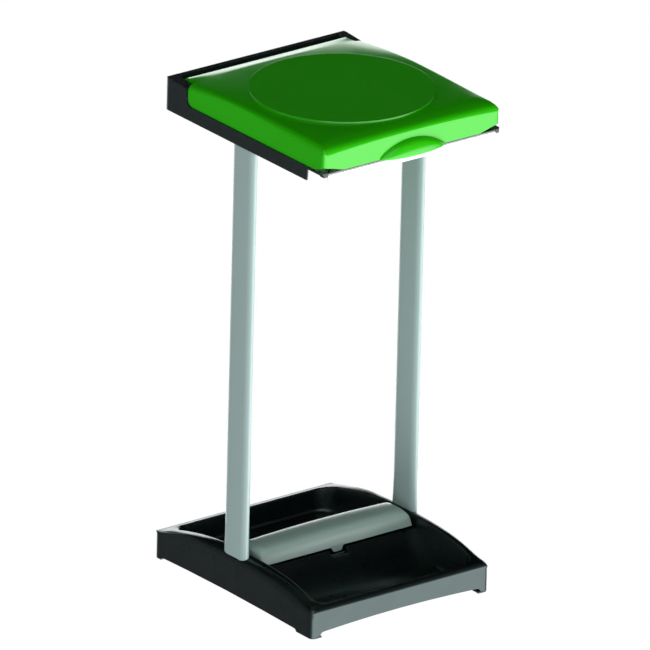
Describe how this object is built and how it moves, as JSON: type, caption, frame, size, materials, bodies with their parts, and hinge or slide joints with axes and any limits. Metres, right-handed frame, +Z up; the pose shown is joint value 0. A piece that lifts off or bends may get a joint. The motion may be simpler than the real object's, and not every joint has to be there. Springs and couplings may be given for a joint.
{
  "type": "waste bag stand",
  "caption": "Free-standing waste-bag stand: a basin base, flat-oval posts, a rear-hinged lid with a raised disc and grip, a front clamp bar and a covered spare-bag compartment.",
  "frame": {"origin": "on the floor, under the centre of the overall outline", "axes": "+X to the right seen from the front, -Y to the front (grip side), +Y to the hinge side, +Z up"},
  "size_m": [0.404, 0.493, 0.96],
  "materials": {
    "tray_black": "moulded black plastic, satin gloss",
    "frame_black": "moulded black plastic, satin gloss",
    "post_grey": "smooth light grey coating on an extruded flat-oval tube",
    "cover_grey": "moulded light grey plastic, semi-gloss",
    "clamp_white": "moulded off-white plastic, semi-gloss",
    "lid_green": "moulded green plastic, satin gloss",
    "plug_dark": "moulded dark grey plastic",
    "pad_rubber": "soft black rubber",
    "band_rubber": "elastic black rubber band",
    "steel": "zinc-plated steel"
  },
  "bodies": {
    "stand": {"base_tray": "tray_black", "foot_pad_front_left": "pad_rubber", "foot_pad_front_right": "pad_rubber", "foot_pad_rear_left": "pad_rubber", "foot_pad_rear_right": "pad_rubber", "post_left": "post_grey", "post_right": "post_grey", "foot_plug_left": "plug_dark", "foot_plug_right": "plug_dark", "head_plug_left": "plug_dark", "head_plug_right": "plug_dark", "base_screws": "steel", "frame_screws": "steel", "cover_pin_left": "steel", "cover_pin_right": "steel", "top_frame": "frame_black", "bag_band": "band_rubber", "clamp_pin_left": "steel", "clamp_pin_right": "steel", "lid_pin_left": "steel", "lid_pin_right": "steel"},
    "lid": {"lid": "lid_green", "lid_buffers": "pad_rubber"},
    "roll_cover": {"roll_cover": "cover_grey"},
    "bag_clamp": {"bag_clamp": "clamp_white"}
  },
  "joints": [
    {"name": "lid_hinge", "type": "hinge", "parent": "stand", "child": "lid", "pos_m": [0, 0.1995, 0.925], "axis": [-1, 0, 0], "range_deg": [0, 96]},
    {"name": "cover_hinge", "type": "hinge", "parent": "stand", "child": "roll_cover", "pos_m": [0, 0.0205, 0.066], "axis": [-1, 0, 0], "range_deg": [0, 80]},
    {"name": "clamp_hinge", "type": "hinge", "parent": "stand", "child": "bag_clamp", "pos_m": [0, -0.2251, 0.8984], "axis": [-1, 0, 0], "range_deg": [0, 50]}
  ]
}
